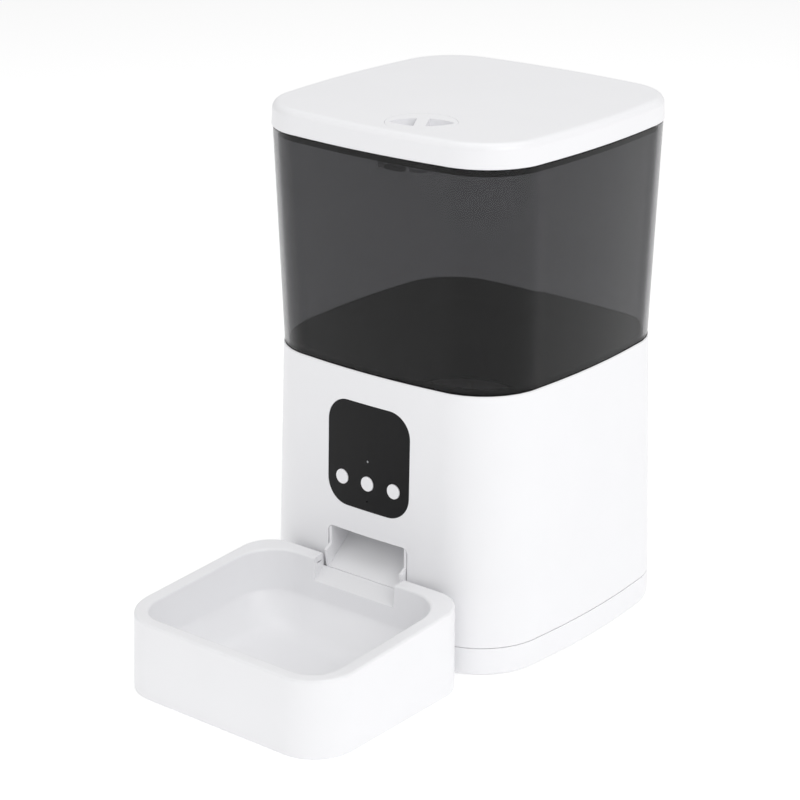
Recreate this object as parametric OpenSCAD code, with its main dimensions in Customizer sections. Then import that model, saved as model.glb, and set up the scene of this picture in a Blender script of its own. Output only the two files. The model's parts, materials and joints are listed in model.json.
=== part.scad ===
// Automatic pet feeder: a rounded square housing with a smoky lift-off tank and lid,
// a paddle rotor that meters dry food into a chute, and a loose bowl under the chute.
// Frame: millimetres, +Z up, the front faces -Y, origin at the centre of the footprint.

/* [Housing] */
// Width and depth of the housing at the base seam
body_w = 193; // [185:0.5:200]
// Width and depth of the housing at its top edge
body_top_w = 184.8; // [180:0.5:190]
// Height of the seam between base tray and housing
seam_z = 17.6; // [16:0.1:20]
// Height at which the tank stands
tank_z = 171.7; // [171.7:0.1:176]
// Radius of the four upright corners
corner_r = 43.6; // [38:0.2:46]
// How far the middle of each side bows out
side_bow = 2.6; // [1:0.1:3]
// Wall thickness of the housing
wall = 2.5; // [2:0.1:3]

/* [Tank and lid] */
// Width and depth of the tank at its top
tank_top_w = 190.6; // [188:0.2:192]
// Height of the tank's top edge
tank_top_z = 302.5; // [300:0.5:310]
// Wall thickness of the tank
tank_wall = 2.6; // [2.2:0.1:3]
// Height of the lid above the tank
lid_h = 14.4; // [14:0.1:17]

/* [Bowl] */
// Width of the bowl
bowl_w = 156.4; // [150:0.2:160]
// Length of the bowl from its back to its front
bowl_l = 131; // [125:0.5:135]
// Height of the bowl's rim at the front
bowl_front_h = 46.5; // [44:0.1:48]
// Height of the bowl's rim at the back
bowl_back_h = 52.8; // [51:0.1:54]

/* [Control panel] */
// Width of the black panel
panel_w = 61; // [58:0.2:64]
// Height of the black panel
panel_h = 65.6; // [62:0.2:68]
// Height of the panel's centre
panel_z = 119.3; // [117:0.1:121]
// Corner radius of the panel
panel_r = 15; // [12:0.5:16]
// Radius of a button
button_r = 4.5; // [4:0.1:5]
// Distance from one button to the next
button_pitch = 19.2; // [17:0.1:20]
// Free travel of a button
button_travel = 0.8; // [0.5:0.1:0.8]

/* [Feed drive] */
// Inner radius of the rotor chamber
chamber_r = 44; // [43:0.1:44]
// Number of rotor vanes
vanes = 6; // [5:1:8]
// Gear module
gear_m = 1.5; // [1.5]
// Teeth of the drive gear
gear_teeth = 36; // [36]
// Teeth of the motor pinion
pinion_teeth = 12; // [12]
// Slope of the chute floor in degrees
chute_slope = 38.5; // [38:0.1:39]

/* [Hidden] */

gap = 0.3;                  // free gap between bodies that lift or slide apart
fit = 0.05;                 // radial clearance of a running fit
seated = 0.02;              // radial clearance of a seated fit
through = 1;                // how far a cutter runs past the wall that it cuts

body_h = body_w / 2;
bowl_back = body_h + 0.5;
bowl_front = bowl_back + bowl_l;
body_y = (bowl_front - body_h) / 2;     // the housing's centre line in the frame
shell_top = tank_z - 0.8;
lean = atan((body_w - body_top_w) / 2 / (shell_top - seam_z));   // draft of the side walls
lid_top = tank_top_z + lid_h;

rotor_y = -6;                           // the rotor stands a little in front of the centre line
gear_gap = gear_m * (gear_teeth + pinion_teeth) / 2;
motor_y = rotor_y + gear_gap;
chamber_z = 104;                        // underside of the chamber floor
chamber_floor = 3;
throat_z = 131;                         // lower mouth of the funnel
plate_z = 74.5;                         // underside of the gear plate
plate_t = 3;
gear_z = 83.5;
gear_t = 6;

knob = [18.1, -67.3];                   // centre of the lid lock
knob_r = 20.5;
knob_turn = 31.6;                       // direction of the finger recess when unlocked
tongue_z = 291.5;

cell_d = 34.2;                          // bay for three D cells, side by side
cell_l = 68;
bay_front = -87.3;

$fa = 4;
$fs = 0.6;

// ---- outlines and lofts ----

// Half width of the housing's outer face at height z
function half_at(z) = body_h - (z - seam_z) * tan(lean);
// Half width of the tank's outer face at height z
function tank_at(z) = half_at(tank_z) - 0.2
    + (tank_top_w / 2 - half_at(tank_z) + 0.2) * (z - tank_z) / (tank_top_z - tank_z);
// Corner radius of the tank at height z
function tank_r(z) = corner_r - 1.9 - 1.2 * (z - tank_z) / (tank_top_z - tank_z);

function arc(cx, cy, r, a0, n = 8) = [for (i = [0:n]) [cx + r * cos(a0 + 90 * i / n),
    cy + r * sin(a0 + 90 * i / n)]];
function bowed_side(p, q, out, bow, n = 5) =
    [for (i = [1:n]) let (u = i / (n + 1)) p + (q - p) * u + out * 4 * bow * u * (1 - u)];

// A rounded rectangle from y0 to y1, with its own corner radii at front and back.
function outline(hx, y0, y1, rf, rb, bow) = let (
        a = arc(hx - bow - rb, y1 - bow - rb, rb, 0), b = arc(-hx + bow + rb, y1 - bow - rb, rb, 90),
        c = arc(-hx + bow + rf, y0 + bow + rf, rf, 180), d = arc(hx - bow - rf, y0 + bow + rf, rf, 270))
    concat(a, bowed_side(a[len(a) - 1], b[0], [0, 1], bow), b, bowed_side(b[len(b) - 1], c[0], [-1, 0],
        bow),
        c, bowed_side(c[len(c) - 1], d[0], [0, -1], bow), d, bowed_side(d[len(d) - 1], a[0], [1, 0],
            bow));
function square_outline(h, r, bow = side_bow) = outline(h, -h, h, r, r, bow);
function ring_at(z, points) = [for (p = points) [p[0], p[1], z]];
// The housing's outline at height z: the base outline, inset and then scaled, so that the walls' facets stay flat
function body_ring(z, inset = 0) = let (s = half_at(z) / body_h) ring_at(z,
    s * square_outline(body_h - inset, corner_r - inset));
function tank_ring(z, inset = 0) = ring_at(z, square_outline(tank_at(z) - inset, tank_r(z) - inset));
function circle_ring(z, r, cy) = let (n = len(square_outline(50, 10)))
    [for (p = square_outline(50, 49, 0.01)) let (a = atan2(p[1], p[0])) [r * cos(a), cy + r * sin(a), z]];

// The quads between rings a and b of n points each, as pairs of triangles
function band(a, b, n) = [for (i = [0:n - 1]) let (j = (i + 1) % n)
    each [[a * n + i, b * n + i, b * n + j], [a * n + i, b * n + j, a * n + j]]];

// A solid through rings of equal point count, each seen from above running counter-clockwise,
// from the middle of its underside, round its outside, to the middle of its top or inner floor.
module loft(rings) {
    n = len(rings[0]);
    last = len(rings) - 1;
    polyhedron(
        points = [for (r = rings) each r],
        faces = concat([[for (i = [0:n - 1]) i]], [for (j = [0:last - 1]) each band(j, j + 1, n)],
            [[for (i = [n - 1:-1:0]) last * n + i]]));
}

// The same as an open-ended wall: up its outside, down its inside and back to the first ring.
module loft_wall(rings) {
    n = len(rings[0]);
    last = len(rings) - 1;
    polyhedron(
        points = [for (r = rings) each r],
        faces = concat([for (j = [0:last - 1]) each band(j, j + 1, n)], band(last, 0, n)));
}

module tube(r_out, r_in, h) {
    difference() {
        cylinder(r = r_out, h = h);
        translate([0, 0, -through]) cylinder(r = r_in, h = h + 2 * through);
    }
}

// A plate along XZ with rounded corners, from y to y + t.
module rounded_plate(w, h, r, y, t) {
    translate([0, y + t, 0]) rotate([90, 0, 0]) linear_extrude(t) rounded_square_2d(w, h, r);
}

module rounded_square_2d(w, h, r) {
    square([w, h - 2 * r], center = true);
    square([w - 2 * r, h], center = true);
    for (sx = [-1, 1], sy = [-1, 1]) translate([sx * (w / 2 - r), sy * (h / 2 - r)]) circle(r);
}

// A cheese-head screw, head down at z, thread up.
module screw(x, y, z, head_r, head_h, shank_r, length) {
    translate([x, y, z]) {
        cylinder(r = head_r, h = head_h);
        cylinder(r = shank_r, h = head_h + length);
    }
}

// A wire of radius r along hand-set points, as one eight-sided tube.
module wire(route, r) {
    n = 8;
    last = len(route) - 1;
    function along(i) = let (a = route[max(i - 1, 0)], b = route[min(i + 1, last)]) (b - a) / norm(b - a);
    function cross_dir(t) = let (c = abs(t[2]) > 0.9 ? cross(t, [1, 0, 0]) : cross(t, [0, 0,
        1])) c / norm(c);
    loft([for (i = [0:last]) let (t = along(i), u = cross_dir(t), v = cross(t, u))
        [for (k = [0:n - 1]) route[i] + r * (cos(360 * k / n) * u + sin(360 * k / n) * v)]]);
}

function smooth(points, steps = 4) = concat([for (i = [0:len(points) - 2]) let (
        p0 = points[max(i - 1, 0)], p1 = points[i], p2 = points[i + 1], p3 = points[min(i + 2,
            len(points) - 1)])
    each [for (k = [0:steps - 1]) let (t = k / steps)
        0.5 * (2 * p1 + (p2 - p0) * t + (2 * p0 - 5 * p1 + 4 * p2 - p3) * t * t
        + (3 * p1 - p0 - 3 * p2 + p3) * t * t * t)]], [points[len(points) - 1]]);

module at_body() {
    translate([0, body_y, 0]) children();
}

// The panel's own frame: origin on the front face, +Y into the housing, leaning with the wall.
module at_panel() {
    at_body() translate([0, -half_at(panel_z), panel_z]) rotate([-lean, 0, 0]) children();
}

module at_rotor(z = 0) {
    at_body() translate([0, rotor_y, z]) children();
}

// ---- base ----

foot_at = 64;
screw_at = 75.5;
tray_bottom = 1;
tray_floor = 2.5;
lip_top = seam_z + 2.6;                 // top of the lap joint between tray and housing
door_y0 = bay_front + 0.5;
door_y1 = bay_front + cell_l - 0.5;
bay_half = 1.5 * cell_d + 1.2;

module four(d) {
    for (sx = [-1, 1], sy = [-1, 1]) translate([sx * d, sy * d, 0]) children();
}

module base_tray() {
    color("whitesmoke") at_body() difference() {
        union() {
            loft([body_ring(tray_bottom, 1.2), body_ring(3, 0.4), body_ring(seam_z - 0.2),
                body_ring(seam_z - 0.2, wall + gap),
                body_ring(lip_top, wall + gap), body_ring(lip_top, wall + 1.6), body_ring(seam_z - 4,
                    wall + 1.6),
                body_ring(seam_z - 5.4, wall), body_ring(tray_bottom + tray_floor, wall)]);
            four(screw_at) translate([0, 0, tray_bottom + 0.5]) cylinder(r = 5,
                h = lip_top - tray_bottom - 0.5);
        }
        translate([-bay_half + 0.2, door_y0 - 0.4, -through])
            cube([2 * bay_half - 0.4, door_y1 - door_y0 + 0.8, tray_bottom + tray_floor + 2 * through]);
        four(screw_at) translate([0, 0, -through]) cylinder(r = 3.8, h = 4 + through);
        four(screw_at) cylinder(r = 1.9, h = 30);
        four(foot_at) cylinder(r = 8.2, h = tray_bottom + 1.2);
        for (i = [-3:3]) translate([speaker_at[0] + i * 4.5 - 1, speaker_at[1] - 11, 0]) cube([2, 22, 5]);
    }
}

module rubber_feet() {
    color("dimgray") at_body() four(foot_at) cylinder(r = 8, h = tray_bottom + 1.15);
}

module battery_door() {
    w = 2 * bay_half - 1.2;
    z0 = tray_bottom + 0.2;
    color("whitesmoke") at_body() difference() {
        union() {
            translate([-w / 2, door_y0, z0]) cube([w, door_y1 - door_y0, 2.2]);
            for (x = [-30, 0, 30]) translate([x - 1, door_y0 + 6, z0]) cube([2, door_y1 - door_y0 - 12,
                4.6]);
        }
        for (i = [0:3]) translate([-9, door_y0 + 4 + 2.4 * i, z0 - through]) cube([18, 1.2,
            through + 0.6]);
    }
}

module battery_bay() {
    top = 38.2;
    color("gainsboro") at_body() difference() {
        translate([-bay_half - 1.8, bay_front - 1.7, tray_bottom + tray_floor + 0.1])
            cube([2 * bay_half + 3.6, cell_l + 3.4, top - tray_bottom - tray_floor + 1.7]);
        difference() {
            translate([-bay_half, bay_front, 0]) cube([2 * bay_half, cell_l, top]);
            for (sx = [-1, 1]) translate([sx * (cell_d / 2 + 0.3) - 0.7, bay_front + 8, top - 8])
                cube([1.4, cell_l - 16, 8 + through]);
        }
    }
}

module battery_contacts() {
    z = 19;
    color("silver") at_body() for (i = [-1:1]) translate([i * (cell_d + 0.4), 0, z]) {
        translate([-7, bay_front + 0.1, -7]) cube([14, 0.6, 14]);
        translate([-7, bay_front + cell_l - 0.7, -7]) cube([14, 0.6, 14]);
        translate([0, bay_front + cell_l - 0.7, 0]) rotate([90, 0, 0]) difference() {
            cylinder(r1 = 6.5, r2 = 4, h = 6);
            translate([0, 0, -0.01]) cylinder(r1 = 5.5, r2 = 3, h = 6.1);
        }
    }
}

speaker_at = [58, 42];
module speaker() {
    color("black") at_body() translate([speaker_at[0], speaker_at[1],
        tray_bottom + tray_floor + 0.1]) difference() {
        union() {
            cylinder(r = 18, h = 2.4);
            cylinder(r1 = 16.5, r2 = 11, h = 8);
            cylinder(r = 11, h = 11.5);
        }
        translate([0, 0, -through]) cylinder(r1 = 16, r2 = 5, h = 5);
    }
}

// ---- housing ----

window_half = 30.1;
window_low = 43.4;
window_high = 70.8;
window_r = 4.2;
ledge_z = 164.8;                        // ledge on which the funnel stands
usb = [-30, 92, 35.3];

// The outlet's outline: rounded above, square below; shrunk all round by inset.
module window_prism(inset, y, t) {
    w = 2 * (window_half - inset);
    translate([0, y + t, 0]) rotate([90, 0, 0]) linear_extrude(t) {
        translate([0, (window_low + window_high) / 2]) rounded_square_2d(w,
            window_high - window_low - 2 * inset, window_r - inset);
        translate([-w / 2, window_low + inset]) square([w, 10]);
    }
}

module lower_shell() {
    color("white") difference() {
        union() {
            at_body() {
                loft_wall([body_ring(seam_z), body_ring(shell_top), body_ring(shell_top, wall),
                    body_ring(ledge_z, wall),
                    body_ring(ledge_z, 5), body_ring(ledge_z - 3, 5), body_ring(ledge_z - 5.5, wall),
                        body_ring(seam_z, wall)]);
                four(screw_at) difference() {
                    translate([0, 0, lip_top + 0.05]) cylinder(r = 5, h = 41);
                    cylinder(r = 1.55, h = 54);
                }
                for (a = [45:90:315]) rotate(a) translate([screw_at * sqrt(2) + 4.4, -1.5,
                    lip_top + 0.3]) cube([1.9, 3, 40]);
                // posts for the main board, on the left wall
                for (y = [-8, 42], z = [57, 99]) let (x = wall / 2 - half_at(z) + side_bow * pow(y / 50,
                    2))
                    translate([x, y, z]) rotate([0, 90, 0]) cylinder(r = 3, h = -82 - x);
                // shelf under the power inlet
                translate([usb[0] - 9, usb[1] - 13, usb[2] - 5]) cube([18, 14, 1.8]);
            }
        }
        // outlet
        at_body() window_prism(0, -body_h - 8, 20);
        // panel window
        at_panel() rounded_plate(panel_w, panel_h, panel_r, -10, 20);
        // power inlet
        at_body() translate([usb[0], usb[1] - 4, usb[2]]) rounded_plate(10.4, 4.6, 2.2, 0, 10);
        // pilot holes of the board posts
        at_body() for (y = [-8, 42], z = [57, 99]) translate([-90, y, z]) rotate([0, 90,
            0]) cylinder(r = 1.05, h = 12);
    }
}

side_half = body_h - side_bow - corner_r;      // half the length of a side between its corners
panel_arc = pow(side_half, 2) / (2 * side_bow) * half_at(panel_z) / body_h;   // radius of the bowed front
panel_t = 4.6;
flange_y = wall + gap;
button_z = -15.6;
lens_z = -1.8;
mic_z = -26.6;
board_y = 12;

// The part of a plate that follows the bowed front wall, from depth y0 to y1.
module bowed_slab(y0, y1) {
    translate([0, panel_arc, -60]) tube_sector(panel_arc - y0, panel_arc - y1, 120);
}

module tube_sector(r_out, r_in, h) {
    difference() {
        cylinder(r = r_out, h = h, $fn = 360);
        translate([0, 0, -through]) cylinder(r = r_in, h = h + 2 * through, $fn = 360);
    }
}

module control_panel() {
    color("#222222") at_panel() difference() {
        union() {
            intersection() {
                rounded_plate(panel_w - 0.4, panel_h - 0.4, panel_r - 0.2, -2, 12);
                bowed_slab(0.05, panel_t);
            }
            intersection() {
                rounded_plate(panel_w + 5, panel_h + 5, panel_r + 2.5, -2, 12);
                bowed_slab(flange_y, panel_t);
            }
            for (sx = [-1, 1], sz = [-1, 1]) translate([sx * 25, board_y - 0.05, sz * 26])
                rotate([90, 0, 0]) cylinder(r = 2.4, h = board_y - panel_t + 1);
        }
        for (i = [-1:1]) translate([i * button_pitch, 10, button_z]) rotate([90, 0,
            0]) cylinder(r = button_r + gap, h = 20);
        translate([0, 10, lens_z]) rotate([90, 0, 0]) cylinder(r = 0.8, h = 20);
        translate([0, 10, mic_z]) rotate([90, 0, 0]) cylinder(r = 0.6, h = 20);
        for (sx = [-1, 1], sz = [-1, 1]) translate([sx * 25, board_y + 1, sz * 26])
            rotate([90, 0, 0]) cylinder(r = 1.05, h = 6);
    }
}

module button(i) {
    x = i * button_pitch;
    face = x * x / (2 * panel_arc) - 0.4;
    color("white") at_panel() translate([x, 0, button_z]) rotate([-90, 0, 0]) {
        translate([0, 0, face]) cylinder(r = button_r, h = 6 - face);
        translate([0, 0, 5.6]) cylinder(r = button_r + 1.2, h = 1);
        cylinder(r = 1.8, h = 7.4);
    }
}

module button_left() {
    button(-1);
}

module button_middle() {
    button(0);
}

module button_right() {
    button(1);
}

module status_lens() {
    color("lightgray") at_panel() translate([0, 0.15, lens_z]) rotate([-90, 0, 0]) {
        cylinder(r = 0.7, h = 11.6);
        translate([0, 0, 5.2]) cylinder(r = 1.7, h = 6.4);
    }
}

module microphone() {
    color("silver") at_panel() translate([0, 5, mic_z]) rotate([-90, 0, 0]) cylinder(r = 3,
        h = board_y - 5.05);
}

module panel_board() {
    color("seagreen") at_panel() difference() {
        union() {
            rounded_plate(56, 60, 2, board_y, 1.6);
            translate([-9, board_y + 1.5, 12]) cube([18, 3, 6]);
        }
        for (sx = [-1, 1], sz = [-1, 1]) translate([sx * 25, board_y + 3, sz * 26]) rotate([90, 0,
            0]) cylinder(r = 1.3, h = 6);
    }
}

module tact_switches() {
    color("dimgray") at_panel() for (i = [-1:1]) translate([i * button_pitch, 0, button_z]) {
        translate([-3, board_y - 3.3, -3]) cube([6, 3.28, 6]);
        translate([0, board_y - 3.2, 0]) rotate([90, 0, 0]) cylinder(r = 1.7, h = 0.5);
    }
}

module main_board() {
    color("seagreen") at_body() difference() {
        union() {
            translate([-81.9, -14, 50]) cube([1.6, 62, 56]);
            translate([-80.4, 4, 82]) cube([3.2, 18, 20]);
            translate([-80.4, -8, 64]) cube([2, 12, 12]);
            translate([-80.4, 26, 60]) cube([6, 10, 8]);
            for (y = [30, 38]) translate([-80.4, y, 84]) rotate([0, 90, 0]) cylinder(r = 3, h = 8);
            for (p = [[12, 54], [-1, 54], [38, 70]]) translate([-80.4, p[0], p[1]]) cube([5, 8, 6]);
        }
        for (y = [-8, 42], z = [57, 99]) translate([-83, y, z]) rotate([0, 90, 0]) cylinder(r = 1.4,
            h = 6);
    }
}

module usb_inlet() {
    color("silver") at_body() translate(usb) {
        difference() {
            translate([0, -11, 0]) rounded_plate(9, 3.3, 1.6, 0, 12.6);
            translate([0, -7, 0]) rounded_plate(8.4, 2.7, 1.3, 0, 12);
        }
        translate([-3.3, -7.5, -0.35]) cube([6.6, 7.5, 0.7]);
        translate([-8, -12.6, -3.15]) cube([16, 10, 1.6]);
        translate([-4, -11, -1.6]) cube([8, 3, 0.2]);
    }
}

// ---- chute ----

chute_half = 29.4;
chute_t = 1.8;
nose_y = -95.9;
nose_z = 45.9;
chute_back = -24;
chute_top = chamber_z - gap;
roof_y = -91.2;
roof_z = 71.2;

function floor_z(y) = nose_z + (y - nose_y) * tan(chute_slope);

// Side outline of the chute in Y and Z
module chute_side() {
    polygon([[-96.8, floor_z(-96.8) - 1.5], [-96, floor_z(-96) - 2.2], [chute_back,
        floor_z(chute_back) - 2.2],
        [chute_back, chute_top],
        [roof_y + (chute_top - roof_z - 2.2) / tan(chute_slope), chute_top], [roof_y, roof_z + 2.2],
        [roof_y, window_high - gap], [-94.2, window_high - gap], [-94.2, 58.6], [-98.9, 55.8], [-97,
            floor_z(-97)]]);
}

module chute_inside() {
    polygon([[-120, floor_z(-120)], [chute_back - 1.5, floor_z(chute_back - 1.5)], [chute_back - 1.5,
        chute_top + 9],
        [roof_y + (chute_top + 9 - roof_z) / tan(chute_slope), chute_top + 9], [roof_y, roof_z], [-120,
            roof_z]]);
}

// Turns a YZ outline into a solid along X, centred, w wide.
module across(w) {
    translate([-w / 2, 0, 0]) rotate([90, 0, 90]) linear_extrude(w) children();
}

module chute() {
    color("white") at_body() difference() {
        union() {
            intersection() {
                across(2 * chute_half) chute_side();
                union() {
                    window_prism(0.25, -110, 20.6);
                    translate([-40, -89.5, 40]) cube([80, 80, 80]);
                }
            }
            translate([-36, -90.4, 42.5]) cube([72, 1.6, 33]);
        }
        across(2 * (chute_half - chute_t)) chute_inside();
    }
}

// ---- rotor and drive ----

pillars = [[36, 10], [-36, 10], [22, gear_gap], [-22, gear_gap]];
flange_r = 53;
flange_screw_r = 49.6;

module rotor_chamber() {
    wall_top = throat_z - 1.3;
    color("ghostwhite") at_rotor() difference() {
        union() {
            translate([0, 0, chamber_z]) tube(chamber_r + 2.4, chamber_r, wall_top - chamber_z);
            translate([0, 0, chamber_z]) cylinder(r = chamber_r + 1, h = chamber_floor);
            translate([0, 0, wall_top - 2.8]) tube(flange_r, chamber_r + 1, 2.8);
            for (p = pillars) translate([p[0], p[1], plate_z + plate_t]) cylinder(r = 4.5,
                h = chamber_z - plate_z - plate_t + 1);
        }
        // drop hole to the chute
        intersection() {
            translate([0, 0, chamber_z - through]) cylinder(r = chamber_r - 0.8, h = 8);
            translate([-24, -60, chamber_z - through]) cube([48, 39.5, 8]);
        }
        translate([0, 0, chamber_z - through]) cylinder(r = 7 + seated, h = 8);
        for (p = pillars) translate([p[0], p[1], plate_z]) cylinder(r = 1.45, h = 18);
        for (a = [45:90:315]) rotate(a) translate([flange_screw_r, 0, wall_top - 4]) cylinder(r = 1.6,
            h = 6);
    }
}

module rotor() {
    z = chamber_z + chamber_floor + 1;
    color("lightgray") at_rotor(z) difference() {
        union() {
            cylinder(r = 9, h = 17);
            translate([0, 0, 17]) cylinder(r1 = 9, r2 = 4, h = 3);
            for (i = [0:vanes - 1]) rotate(i * 360 / vanes) translate([5, -1.2, 0]) cube([chamber_r - 6.7,
                2.4, 19]);
        }
        translate([0, 0, -through]) cylinder(r = 4 + seated, h = 16);
    }
}

module rotor_shaft() {
    color("silver") at_rotor(69) cylinder(r = 4, h = 53);
}

module shaft_clip() {
    color("dimgray") at_rotor(70.6) tube(6.6, 4 + seated, 1);
}

// A flanged plain bush; side is 1 for a flange on top and -1 for one below.
module bush(z, h, flange_z) {
    color("darkgoldenrod") at_rotor() difference() {
        union() {
            translate([0, 0, z]) cylinder(r = 7, h = h);
            translate([0, 0, flange_z]) cylinder(r = 9.5, h = 1.6);
        }
        translate([0, 0, z - 4]) cylinder(r = 4 + fit, h = h + 8);
    }
}

module chamber_bush() {
    bush(chamber_z - 1, chamber_floor + 1, chamber_z - 1.65);
}

module plate_bush() {
    bush(plate_z - 0.5, plate_t + 1, plate_z + plate_t + 0.05);
}

// Spur gear outline with slim teeth, so that a pair runs with free backlash.
function gear_points(teeth) = let (r = gear_m * teeth / 2) [for (i = [0:teeth - 1]) let (a = 360 * i /
    teeth)
    each [for (q = [[-1.35, -1.7], [-0.86, 0], [-0.38, 1.3], [0.38, 1.3], [0.86, 0], [1.35, -1.7]])
        let (rr = r + q[1], b = a + q[0] / rr * 180 / PI) [rr * cos(b), rr * sin(b)]]];

module spur(teeth, t) {
    linear_extrude(t) polygon(gear_points(teeth));
}

module drive_gear() {
    color("white") at_rotor(gear_z) difference() {
        union() {
            rotate(90) spur(gear_teeth, gear_t);
            cylinder(r = 8, h = 11);
        }
        translate([0, 0, -through]) cylinder(r = 4 + seated, h = 20);
        translate([0, 0, gear_t - 2]) tube(22, 10, 4);
    }
}

module motor_pinion() {
    color("white") at_body() translate([0, motor_y, gear_z - 0.5]) difference() {
        rotate(90 + 180 / pinion_teeth) spur(pinion_teeth, gear_t + 1);
        translate([0, 0, -through]) cylinder(r = 3 + seated, h = 20);
    }
}

module motor_shaft() {
    color("silver") at_body() translate([0, motor_y, plate_z - 8]) cylinder(r = 3, h = 25);
}

module gear_motor() {
    color("silver") at_body() translate([0, motor_y, 0]) difference() {
        union() {
            translate([0, 0, 50]) cylinder(r = 18.5, h = plate_z - 50.05);
            translate([0, 0, 22]) cylinder(r = 14, h = 29);
            translate([0, 0, 20]) cylinder(r = 4, h = 3);
            translate([0, 0, plate_z - 1]) cylinder(r = 6, h = 4.5);
            for (sx = [-1, 1]) translate([sx * 9 - 1.4, -0.4, 17]) cube([2.8, 0.8, 6]);
        }
        translate([0, 0, plate_z - 9]) cylinder(r = 3 + fit, h = 14);
        for (sx = [-1, 1]) translate([sx * 12.5, 0, plate_z - 10]) cylinder(r = 1.25, h = 12);
    }
}

module gear_plate() {
    color("gainsboro") at_rotor(plate_z) difference() {
        linear_extrude(plate_t) {
            translate([-36, 3]) square([72, 14]);
            translate([-26, 10]) square([52, gear_gap]);
            for (p = pillars) translate(p) circle(7);
            circle(14);
            translate([-14, 0]) square([28, 12]);
            translate([0, gear_gap]) circle(20);
        }
        translate([0, 0, -through]) cylinder(r = 7 + seated, h = 6);
        translate([0, gear_gap, -through]) cylinder(r = 6.3, h = 6);
        for (sx = [-1, 1]) translate([sx * 12.5, gear_gap, -through]) cylinder(r = 1.5, h = 6);
        for (p = pillars) translate([p[0], p[1], -through]) cylinder(r = 1.7, h = 6);
    }
}

module wiper() {
    color("dimgray") at_rotor() translate([-38, -14.8, throat_z - 3.2]) cube([76, 1.6, 2.18]);
}

// ---- funnel, tank and lid ----

lip_inset = 3.2;
lip_t = 2;
lip_top_z = 174;

module funnel() {
    throat = chamber_r - 4;
    seat = ledge_z + 0.05;
    color("#1c1c1c") difference() {
        union() {
            at_body() loft_wall([circle_ring(throat_z - 0.5, throat + 3.5, rotor_y),
                circle_ring(throat_z + 0.5, throat + 3.5, rotor_y),
                body_ring(156.5, 8.2), body_ring(161, 5.5), body_ring(seat, 5.4), body_ring(seat,
                    lip_inset),
                body_ring(lip_top_z, lip_inset), body_ring(lip_top_z, lip_inset + lip_t), body_ring(168,
                    lip_inset + lip_t + 0.2),
                body_ring(162, 7.8), body_ring(157.5, 10.6), circle_ring(throat_z + 0.3, throat + 0.6,
                    rotor_y),
                circle_ring(throat_z - 0.5, throat + 0.6, rotor_y)]);
            at_rotor(throat_z - 1) {
                tube(flange_r, throat, 2);
                for (a = [45:90:315]) rotate(a) translate([flange_screw_r, 0, 0]) cylinder(r = 3.2,
                    h = 3.8);
                // cover over the drop hole
                intersection() {
                    cylinder(r = throat + 1, h = 2);
                    translate([-50, -60, 0]) cube([100, 46.8, 2]);
                }
            }
        }
        at_rotor(throat_z - 3) for (a = [45:90:315]) rotate(a) translate([flange_screw_r, 0,
            0]) cylinder(r = 1.35, h = 5.2);
    }
}

module tank_seal() {
    low = shell_top + 0.02;
    high = tank_z - 0.03;
    color("#1a1a1a") at_body() loft_wall([body_ring(low, 0.5), body_ring(high, 0.5), body_ring(high,
        wall), body_ring(low, wall)]);
}

module tank() {
    color("#5a5a5a", 0.55) at_body() {
        loft_wall([tank_ring(tank_z), tank_ring(tank_top_z), tank_ring(tank_top_z, tank_wall),
            tank_ring(tank_z, tank_wall)]);
    }
}

// The hook on the tank's wall that the lid lock's tongue turns under
module lock_keeper() {
    back = tank_wall - tank_at(tongue_z) + side_bow * pow((knob[0] + 6) / side_half, 2) + seated;
    color("#5a5a5a", 0.55) at_body() translate([knob[0] - 6, back, tongue_z + 3]) cube([12, 4.2, 2.4]);
}

plug_inset = 5.8;
gasket_z = 298.2;
gasket_h = 4;
plug_low = gasket_z - 0.9;
cup_at = [0, 15];
cup_r = 24.2;

module lid() {
    plate_low = lid_top - 3;
    color("white") at_body() difference() {
        union() {
            loft([lid_ring(plate_low, 6), lid_ring(plate_low - 3, 3.2), lid_ring(tank_top_z + 0.25, 2.4),
                lid_ring(tank_top_z + 0.25, 0), lid_ring(lid_top - 4.5, 0.5), lid_ring(lid_top - 2.2,
                    1.5),
                lid_ring(lid_top - 0.8, 3), lid_ring(lid_top, 5.2)]);
            loft_wall([lid_ring(plug_low, plug_inset), lid_ring(plate_low + 1, plug_inset),
                lid_ring(plate_low + 1, plug_inset + 1.8),
                lid_ring(plug_low, plug_inset + 1.8)]);
            translate([knob[0], knob[1], lid_top - 10.6]) cylinder(r = knob_r + 2.4, h = 9);
            translate([cup_at[0], cup_at[1], plate_low - 10.5]) tube(cup_r + 2.4, cup_r + 0.4, 11);
        }
        translate([knob[0], knob[1], lid_top - 8.2]) cylinder(r = knob_r + gap, h = 10);
        translate([knob[0], knob[1], lid_top - 12]) cylinder(r = 5 + fit, h = 10);
    }
}

function lid_ring(z, inset) = ring_at(z, square_outline(tank_top_w / 2 + 0.4 - inset,
    corner_r - 3.1 - inset));

module lid_gasket() {
    top = gasket_z + gasket_h;
    color("#1a1a1a") at_body() loft_wall([tank_ring(gasket_z, tank_wall + 0.45), tank_ring(top,
        tank_wall + 0.45),
        lid_ring(top, plug_inset - 0.05), lid_ring(gasket_z, plug_inset - 0.05)]);
}

module at_knob(z) {
    at_body() translate([knob[0], knob[1], z]) rotate(knob_turn) children();
}

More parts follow.
